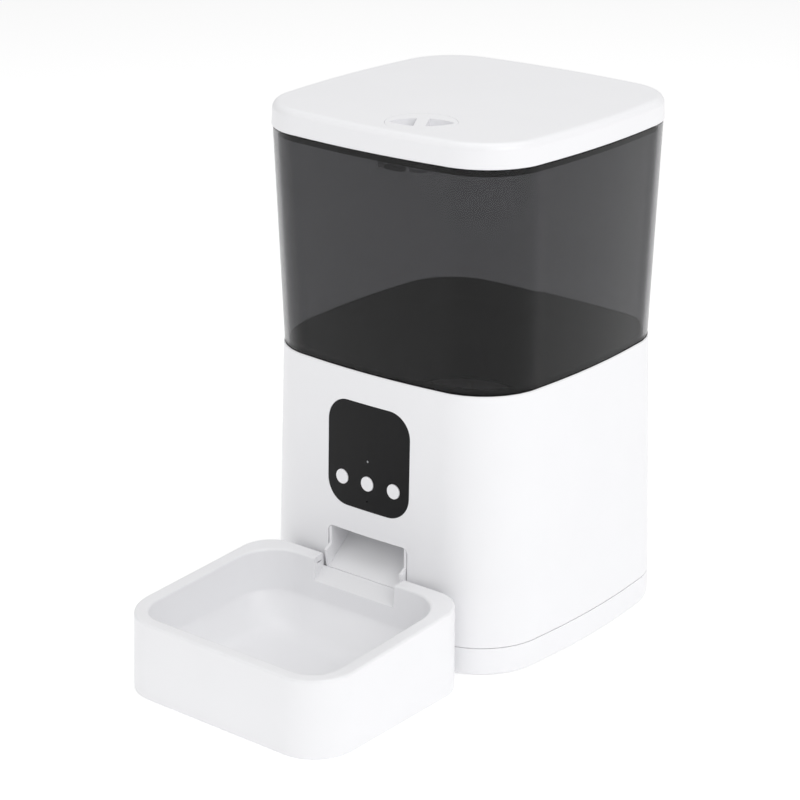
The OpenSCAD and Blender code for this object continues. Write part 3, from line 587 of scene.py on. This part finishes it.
@dataclass
class Housing(SubAssembly):
    """The white lower housing, with the outlet, the chute and the base tray.

    Attributes:
        half, top_half: half widths at the seam and at the top edge.
        seam, top: heights of the two.
        corner, bow, wall, edge: corner radius, bow of a side, wall thickness and rounded edge.
        ledge, ledge_inset: height and inset of the ledge under the funnel.
        rim: rounding round the openings in the front.
        outlet_half, outlet_low, outlet_high, outlet_corner: the outlet's opening.
        panel_width, panel_height, panel_centre, panel_corner: the panel's window.
        post_at, post_radius, post_bore: place, radius and bore of the screw posts.
        inlet_x, inlet_y, inlet_z: middle of the power inlet, from the body's centre line.
    """

    half: float = 96.5
    top_half: float = 92.4
    seam: float = 17.6
    top: float = 170.9
    corner: float = 43.6
    bow: float = 2.6
    wall: float = 2.5
    edge: float = 0.5
    ledge: float = 164.8
    ledge_inset: float = 5.0
    rim: float = 0.35
    outlet_half: float = 30.1
    outlet_low: float = 43.4
    outlet_high: float = 70.8
    outlet_corner: float = 4.2
    panel_width: float = 61.0
    panel_height: float = 65.6
    panel_centre: float = 119.3
    panel_corner: float = 15.0
    post_at: float = 75.5
    post_radius: float = 5.0
    post_bore: float = 1.55
    inlet_x: float = -30.0
    inlet_y: float = 92.0
    inlet_z: float = 35.3

    @property
    def draft(self) -> float:
        """Draft of the walls in radians."""
        return math.atan((self.half - self.top_half) / (self.top - self.seam))

    def half_at(self, z: float) -> float:
        """Half width of the housing at a height."""
        return self.half - (z - self.seam) * math.tan(self.draft)

    def outline(self, z: float, inset: float = 0.0) -> bpy.types.Object:
        """Draws the housing's outline.

        Args:
            z: its height.
            inset: how far it stands inside the outer face.

        Returns:
            The ring.
        """
        scale = self.half_at(z) / self.half
        side = scale * (self.half - inset)
        radius = scale * (self.corner - inset)
        return Bench.ring(Ring(z, side, side, radius, radius, self.centre_y, scale * self.bow))

    def cut_window(self, shell: bpy.types.Object, tool: bpy.types.Object, low: float, high: float,
                   reach: float) -> None:
        """Cuts an opening in the front and rounds its outer rim.

        Args:
            shell: the shell.
            tool: the shape to cut out.
            low, high: the heights between which its rim lies.
            reach: the half width within which its rim lies.
        """
        Bench.combine(shell, tool, Join.CUT)
        Bench.edit(shell)
        middle = self.centre_y * MM

        def on_rim(edge: bmesh.types.BMEdge) -> bool:
            """Says whether an edge is where the opening meets the outer face.

            Args:
                edge: the edge.

            Returns:
                True on the rim.
            """
            if len(edge.link_faces) != 2 or edge.calc_face_angle(0) < math.radians(40):
                return False
            for vert in edge.verts:
                x, y, z = vert.co / MM
                if abs(x) > reach or not low < z < high:
                    return False
                face_y = self.centre_y - self.half_at(z)
                if not face_y - 1 < y < face_y + 1.6:
                    return False
            return (edge.verts[0].co.y + edge.verts[1].co.y) / 2 < middle

        count = Bench.pick(shell, "EDGE", on_rim)
        LOG.info("opening between %.0f and %.0f mm: %d rim edges", low, high, count)
        if count:
            bpy.ops.mesh.bevel(offset=self.rim * MM, segments=3, affect="EDGES", clamp_overlap=True)
        Bench.clear()

    def shell(self) -> None:
        """Models the housing's wall with its ledge, posts and openings."""
        rings = [self.outline(z, inset) for z, inset in (
            (self.seam, self.edge), (self.seam + self.edge, 0), (60, 0), (110, 0), (150, 0),
            (self.top - self.edge, 0), (self.top, self.edge), (self.top, self.wall), (self.ledge, self.wall),
            (self.ledge, self.ledge_inset), (self.ledge - 3, self.ledge_inset), (self.ledge - 5.5, self.wall),
            (self.seam, self.wall))]
        shell = Bench.loft("housing_shell", rings, True)
        front = self.centre_y - self.half
        height = self.outlet_high - self.outlet_low
        window = Bench.block((0, front, (self.outlet_low + self.outlet_high) / 2),
                             (2 * self.outlet_half, 30, height), self.outlet_corner)
        foot = Bench.block((0, front, self.outlet_low + 5), (2 * self.outlet_half, 30, 10))
        Bench.combine(window, foot, Join.ADD)
        self.cut_window(shell, window, self.outlet_low - 1, self.outlet_high + 1, self.outlet_half + 1)
        lean = -self.draft
        face = self.centre_y - self.half_at(self.panel_centre)
        pane = Bench.block((0, face + 5, self.panel_centre), (self.panel_width, 30, self.panel_height),
                           self.panel_corner, lean=lean)
        self.cut_window(shell, pane, self.panel_centre - 34, self.panel_centre + 34, self.panel_width / 2 + 1)
        inlet = Bench.block((self.inlet_x, self.centre_y + self.inlet_y, self.inlet_z), (10.4, 14, 4.6), 2.2)
        Bench.combine(shell, inlet, Join.CUT)
        self.add_posts(shell)
        Bench.shade(shell, 32)
        self.settle(shell, "lower_shell", "housing", "white_abs")

    def add_posts(self, shell: bpy.types.Object) -> None:
        """Adds the four hollow screw posts inside the shell's corners.

        Args:
            shell: the shell.
        """
        for sx in (-1, 1):
            for sy in (-1, 1):
                x, y = sx * self.post_at, self.centre_y + sy * self.post_at
                post = Bench.disc((x, y, 40.75), self.post_radius, 41)
                bore = Bench.disc((x, y, 37), self.post_bore, 34)
                Bench.combine(post, bore, Join.CUT)
                Bench.combine(shell, post, Join.ADD)

    def build(self) -> None:
        """Models the shell and works up the pieces set in it."""
        self.shell()
        self.work_up("base_tray", "housing", "white_abs", 0.35)
        self.work_up("chute", "housing", "white_abs", 0.3, False)
        self.work_up("battery_door", "battery_cover", "white_abs", 0.3)
        self.work_up("rubber_feet", "housing", "rubber_foot", 0.4)
        self.work_up("usb_inlet", "housing", "steel", 0.12)


@dataclass
class ControlPanel(SubAssembly):
    """The black panel with three buttons, a light and a microphone hole."""

    def build(self) -> None:
        """Works up the panel, its buttons, the lens and the microphone."""
        self.work_up("control_panel", "housing", "black_plastic", 0.3)
        for name in ("button_left", "button_middle", "button_right"):
            self.work_up(name, name, "white_abs", 0.35)
        self.work_up("status_lens", "housing", "clear_lens", 0.1)
        self.work_up("microphone", "housing", "steel", 0.1)


@dataclass
class FoodTank(SubAssembly):
    """The smoky tank on the housing, with the funnel and the seal under it.

    Attributes:
        low, high: heights of its lower and upper edges.
        low_half, high_half: its half widths there.
        corner, bow, wall: corner radius, bow of a side and wall thickness.
    """

    low: float = 171.7
    high: float = 302.5
    low_half: float = 92.18
    high_half: float = 95.3
    corner: float = 41.7
    bow: float = 2.6
    wall: float = 2.6

    def outline(self, z: float, inset: float) -> bpy.types.Object:
        """Draws the tank's outline.

        Args:
            z: its height.
            inset: how far it stands inside the outer face.

        Returns:
            The ring.
        """
        rise = (z - self.low) / (self.high - self.low)
        side = self.low_half + (self.high_half - self.low_half) * rise - inset
        radius = self.corner - 1.2 * rise - inset
        return Bench.ring(Ring(z, side, side, radius, radius, self.centre_y, self.bow))

    def build(self) -> None:
        """Models the tank and works up the funnel and the seal."""
        profile = ((self.low, 0.7), (self.low + 0.25, 0.2), (self.low + 0.8, 0), (self.high - 0.8, 0),
                   (self.high - 0.2, 0.25), (self.high, 0.8), (self.high, self.wall - 0.8),
                   (self.high - 0.8, self.wall), (self.low + 0.8, self.wall), (self.low, self.wall - 0.7))
        tank = Bench.loft("smoky_tank", [self.outline(z, inset) for z, inset in profile], True)
        Bench.shade(tank, 40)
        self.settle(tank, "tank", "tank", "smoky_tank")
        self.work_up("funnel", "housing", "black_plastic", 0.0)
        self.work_up("tank_seal", "housing", "black_silicone", 0.0)


@dataclass
class TankLid(SubAssembly):
    """The white lid with its pocket for the lock, its plug and its desiccant collar.

    Attributes:
        bottom, top: heights of its skirt's edge and of its top.
        half, corner, bow: half width, corner radius and bow of a side.
        rim, fillet_height, fillet: inset where the top's rounding starts, its height and its width.
        plate: thickness of the top plate.
        plug, plug_wall, plug_low: inset, wall and lower edge of the skirt that plugs the tank.
        knob_x, knob_y, knob_radius: middle and radius of the lock.
        pocket_gap, pocket_wall: gap and wall round the lock.
        bore: radius of the hole for the lock's neck.
        cup_y, cup_radius, cup_gap, cup_wall: middle and radius of the desiccant cup, and the collar's gap and wall.
    """

    bottom: float = 302.75
    top: float = 316.9
    half: float = 95.7
    corner: float = 40.5
    bow: float = 2.6
    rim: float = 0.5
    fillet_height: float = 4.5
    fillet: float = 4.7
    plate: float = 3.0
    plug: float = 5.8
    plug_wall: float = 1.8
    plug_low: float = 297.3
    knob_x: float = 18.1
    knob_y: float = -67.3
    knob_radius: float = 20.5
    pocket_gap: float = 0.12
    pocket_wall: float = 2.4
    bore: float = 5.05
    cup_y: float = 15.0
    cup_radius: float = 24.2
    cup_gap: float = 0.4
    cup_wall: float = 2.4

    def outline(self, z: float, inset: float) -> bpy.types.Object:
        """Draws the lid's outline.

        Args:
            z: its height.
            inset: how far it stands inside the outer face.

        Returns:
            The ring.
        """
        return Bench.ring(Ring(z, self.half - inset, self.half - inset, self.corner - inset, self.corner - inset,
                               self.centre_y, self.bow))

    def build(self) -> None:
        """Models the lid and works up the lock, the gasket and the desiccant cup."""
        plate = self.top - self.plate
        steps = 8
        rise, run = self.fillet_height, self.fillet
        arc = [(self.top - rise + rise * math.sin(a), self.rim + run * (1 - math.cos(a)))
               for a in (math.pi / 2 * k / steps for k in range(steps + 1))]
        profile = [(plate, 6.0), (plate - 3, 3.2), (self.bottom, 2.4), (self.bottom, 0.4), (self.bottom + 0.4, 0.0)]
        lid = Bench.loft("lid_cover", [self.outline(z, inset) for z, inset in profile + arc], False)
        inner = self.plug + self.plug_wall
        plug = Bench.loft("plug", [self.outline(z, inset) for z, inset in (
            (self.plug_low, self.plug + 0.2), (self.plug_low + 0.3, self.plug), (plate + 1, self.plug),
            (plate + 1, inner), (self.plug_low + 0.3, inner), (self.plug_low, inner - 0.3))], True)
        Bench.combine(lid, plug, Join.ADD)
        spot = (self.knob_x, self.centre_y + self.knob_y)
        Bench.combine(lid, Bench.disc((*spot, self.top - 6.1), self.knob_radius + self.pocket_wall, 9), Join.ADD)
        cup = (0, self.centre_y + self.cup_y, plate - 5)
        collar = Bench.disc(cup, self.cup_radius + self.cup_wall, 11)
        Bench.combine(collar, Bench.disc(cup, self.cup_radius + self.cup_gap, 14), Join.CUT)
        Bench.combine(lid, collar, Join.ADD)
        Bench.combine(lid, Bench.disc((*spot, self.top - 3.2), self.knob_radius + self.pocket_gap, 10), Join.CUT)
        Bench.combine(lid, Bench.disc((*spot, self.top - 8), self.bore, 10), Join.CUT)
        Bench.shade(lid, 32)
        self.settle(lid, "lid", "lid", "white_abs")
        self.work_up("lid_gasket", "lid", "black_silicone", 0.0)
        self.work_up("lock_knob", "lock", "white_abs", 0.15)
        self.work_up("lock_tongue", "lock", "white_abs", 0.3)
        self.work_up("desiccant_cup", "desiccant", "white_abs", 0.3)


@dataclass
class FoodBowl(SubAssembly):
    """The loose bowl in front of the outlet, its rim rising towards the housing.

    Places along Y are from the body's centre line.

    Attributes:
        half, front, back: the outside's half width and its ends along Y.
        front_rim, back_rim: heights of the rim there.
        front_corner, back_corner: the outside's corner radii.
        inner_half, inner_front, inner_back: the same sizes of the inside.
        inner_front_corner, inner_back_corner: the inside's corner radii.
        notch_half, notch_flare: half widths of the dip in the back rim, at its inner and outer ends.
        spout_y, spout_z, spout_depth, spout_height, spout_wall: the block that the dip is cut in.
        floor_z, floor_rise: height of the floor's middle, and how far it curves up from there.
        floor_inset, floor_reach, floor_drop: where that curve lies from the inner rim.
    """

    half: float = 78.2
    front: float = -228.0
    back: float = -97.0
    front_rim: float = 46.5
    back_rim: float = 52.8
    front_corner: float = 27.0
    back_corner: float = 21.0
    inner_half: float = 69.0
    inner_front: float = -218.2
    inner_back: float = -106.5
    inner_front_corner: float = 18.5
    inner_back_corner: float = 24.5
    notch_half: float = 30.3
    notch_flare: float = 31.8
    spout_y: float = -101.8
    spout_z: float = 39.0
    spout_depth: float = 9.6
    spout_height: float = 18.0
    spout_wall: float = 2.4
    floor_z: float = 8.0
    floor_rise: float = 18.0
    floor_inset: float = 24.0
    floor_reach: float = 22.4
    floor_drop: float = 24.0

    @property
    def slope(self) -> float:
        """Rise of the rim over its run."""
        return (self.back_rim - self.front_rim) / (self.back - self.front)

    def rim_at(self, y: float) -> float:
        """Height of the rim at a place along Y, from the body's centre line."""
        return self.back_rim + (y - self.back) * self.slope

    def outer(self, share: float, inset: float, drop: float = 0.0) -> bpy.types.Object:
        """Draws a ring of the outside.

        Args:
            share: its height as a share of the rim's.
            inset: how far it stands inside the outer face.
            drop: how far it lies below that height.

        Returns:
            The ring.
        """
        front, back = self.front + 2 * share + inset, self.back - inset
        middle = (front + back) / 2
        return Bench.ring(Ring(share * self.rim_at(middle) - drop, self.half - inset, (back - front) / 2,
                               self.front_corner - inset, self.back_corner - inset, middle + self.centre_y,
                               slope=share * self.slope))

    def inner(self, inset: float, drop: float, level: float = 0.0, height: float = 0.0) -> bpy.types.Object:
        """Draws a ring of the inside.

        Args:
            inset: how far it stands inside the inner rim.
            drop: how far it lies below the rim.
            level: 0 follows the rim's slope and 1 lies level at the given height.
            height: the height of a level ring.

        Returns:
            The ring.
        """
        front, back = self.inner_front + inset, self.inner_back - inset
        middle = (front + back) / 2
        z = (self.rim_at(middle) - drop) * (1 - level) + height * level
        return Bench.ring(Ring(z, self.inner_half - inset, (back - front) / 2, self.inner_front_corner,
                               self.inner_back_corner, middle + self.centre_y, slope=self.slope * (1 - level)))

    def build(self) -> None:
        """Models the bowl as one skin from the middle of its underside to the middle of its floor."""
        # the skin goes in from the middle of the underside and out over the rim to the middle of the floor
        under = [self.inner(24, 0, 1, 5.6), self.inner(15, 0, 1, 7.2), self.inner(5.5, 0, 1, 14),
                 self.inner(-1, 24), self.inner(-2.6, 3.5), self.outer(0.93, 2.6), self.outer(0, 2.6)]
        outside = [self.outer(0, 0.6), self.outer(0.012, 0.1), self.outer(0.03, 0), self.outer(0.5, 0),
                   self.outer(1, 0, 1.6), self.outer(1, 0.2, 0.8), self.outer(1, 0.8, 0.2), self.outer(1, 1.6)]
        rim = [self.inner(-1.5, 0), self.inner(-0.7, 0.2), self.inner(-0.2, 0.7), self.inner(0, 1.5),
               self.inner(0.9, 14)]
        steps = 9
        floor = []
        for k in range(steps + 1):
            turn = math.pi / 2 * k / steps
            level = min(1.0, 0.25 + 1.1 * k / steps)
            floor.append(self.inner(self.floor_inset - self.floor_reach * math.cos(turn), self.floor_drop, level,
                                    self.floor_z + self.floor_rise * (1 - math.sin(turn))))
        bowl = Bench.loft("food_bowl", under + outside + rim + floor, False)
        spout = Bench.block((0, self.centre_y + self.spout_y, self.spout_z),
                            (2 * self.notch_flare + 2 * self.spout_wall, self.spout_depth, self.spout_height))
        Bench.combine(bowl, spout, Join.ADD)
        self.cut_notch(bowl)
        Bench.soften(bowl, 0.8, 50)
        Bench.shade(bowl, 40)
        self.settle(bowl, "bowl", "bowl", "white_abs")

    def cut_notch(self, bowl: bpy.types.Object) -> None:
        """Cuts the dip in the back rim that the outlet pours over; it opens out towards the housing.

        Args:
            bowl: the bowl.
        """
        # each length of the cut: its front and back along Y, its floor there, and its half width there
        for front, back, low, high, near, far in (
                (-125.0, -106.5, 29.0, 38.9, self.notch_half, self.notch_half),
                (-106.5, -95.0, 38.9, 45.5, self.notch_half, self.notch_flare)):
            middle = self.centre_y + (front + back) / 2
            tool = Bench.block((0, middle, 60), (2, back - front, 30))
            Bench.edit(tool)
            for sign, floor, half in ((-1, low, near), (1, high, far)):
                Bench.pick(tool, "VERT", lambda v: sign * (v.co.y - middle * MM) > 0)
                bpy.ops.transform.resize(value=(half, 1, 1), center_override=(0, middle * MM, 0))
                Bench.pick(tool, "VERT", lambda v: v.co.z < 55 * MM and sign * (v.co.y - middle * MM) > 0)
                bpy.ops.transform.translate(value=(0, 0, (floor - 45) * MM))
            Bench.clear()
            Bench.combine(bowl, tool, Join.CUT)


@dataclass
class InnerParts(SubAssembly):
    """The CAD nodes that keep their shape: the drive, the boards, the screws and the leads."""

    def build(self) -> None:
        """Gives every node that stays the finish of its slot."""
        slots = {row["node"]: row["material_slot"] for row in frame["record"]["subparts"]}
        for name, piece in frame["nodes"].items():
            piece.data.materials.clear()
            piece.data.materials.append(SLOT_FINISH[slots[name]].make())


@dataclass
class Studio:
    """A pale floor, soft light and the camera.

    Attributes:
        eye, gaze: the camera's place in metres and the way that it looks.
        lens, sensor: its focal length and the width of its sensor in millimetres.
        aim: the place that the lamps point at, in metres.
        reach: radius of the floor in metres.
        glow: how strongly the floor shines of itself.
        sky: strength of the light from all round.
    """

    eye: tuple[float, float, float] = (0.8509, -1.04815, 0.6462)
    gaze: tuple[float, float, float] = (-0.5906, 0.7289, -0.3464)
    lens: float = 110.9
    sensor: float = 36.0
    aim: tuple[float, float, float] = (0.0, 0.0, 0.15)
    reach: float = 9.0
    glow: float = 0.24
    sky: float = 0.57

    def floor(self) -> None:
        """Lays the floor."""
        Bench.clear()
        bpy.ops.mesh.primitive_circle_add(vertices=96, radius=self.reach, fill_type="NGON")
        piece = bpy.context.object
        piece.name = "studio_floor"
        paper = bpy.data.materials.new("white_studio_paper")
        paper.use_nodes = True
        shader = paper.node_tree.nodes["Principled BSDF"]
        grain = add_node(paper.node_tree, "ShaderNodeTexNoise", inputs={"Scale": 900.0})
        bump = add_node(paper.node_tree, "ShaderNodeBump", inputs={
            "Height": grain.outputs["Fac"], "Strength": 0.05, "Distance": 0.02 * MM})
        paper.node_tree.links.new(bump.outputs["Normal"], shader.inputs["Normal"])
        shader.inputs["Base Color"].default_value = linear("fcfcfc")
        shader.inputs["Roughness"].default_value = 0.9
        shader.inputs["Specular IOR Level"].default_value = 0.0
        # a back-lit sheet: it stays white where the lamps fall off
        shader.inputs["Emission Color"].default_value = (1, 1, 1, 1)
        shader.inputs["Emission Strength"].default_value = self.glow
        piece.data.materials.append(paper)

    def lamp(self, name: str, place: Sequence[float], size: float, power: float) -> None:
        """Hangs a soft square lamp aimed at the feeder.

        Args:
            name: its name.
            place: where it hangs, in metres.
            size: its side in metres.
            power: its power in watts.
        """
        Bench.clear()
        bpy.ops.object.light_add(type="AREA", location=place)
        lamp = bpy.context.object
        lamp.name = name
        lamp.data.shape = "SQUARE"
        lamp.data.size = size
        lamp.data.energy = power
        lamp.rotation_euler = (Vector(self.aim) - Vector(place)).to_track_quat("-Z", "Y").to_euler()

    def build(self) -> None:
        """Sets up the floor, the lamps, the surroundings and the camera."""
        self.floor()
        self.lamp("key_right", (1.9, -0.6, 1.6), 1.6, 17)
        self.lamp("fill_left", (-1.4, -1.8, 1.3), 1.6, 4)
        self.lamp("top", (0.0, 0.2, 2.4), 2.2, 17)
        world = bpy.data.worlds.new("studio")
        bpy.context.scene.world = world
        world.use_nodes = True
        light = world.node_tree.nodes["Background"]
        light.inputs["Color"].default_value = (1, 1, 1, 1)
        light.inputs["Strength"].default_value = self.sky
        data = bpy.data.cameras.new("camera")
        data.lens = self.lens
        data.sensor_width = self.sensor
        data.clip_start = 0.01
        camera = bpy.data.objects.new("camera", data)
        camera.location = self.eye
        camera.rotation_euler = Vector(self.gaze).to_track_quat("-Z", "Y").to_euler()
        bpy.context.scene.collection.objects.link(camera)
        bpy.context.scene.camera = camera
        bpy.context.scene.view_settings.view_transform = "Standard"
        LOG.info("studio ready")


def main() -> None:
    """Builds the feeder and its studio in order."""
    logging.basicConfig(level=logging.INFO, format="%(name)s: %(message)s")
    Studio().build()
    InnerParts().build()
    for part in (Housing(), ControlPanel(), FoodTank(), TankLid(), FoodBowl()):
        part.build()
        LOG.info("%s done: %d pieces", type(part).__name__, len(part.made))


if __name__ == "__main__":
    main()
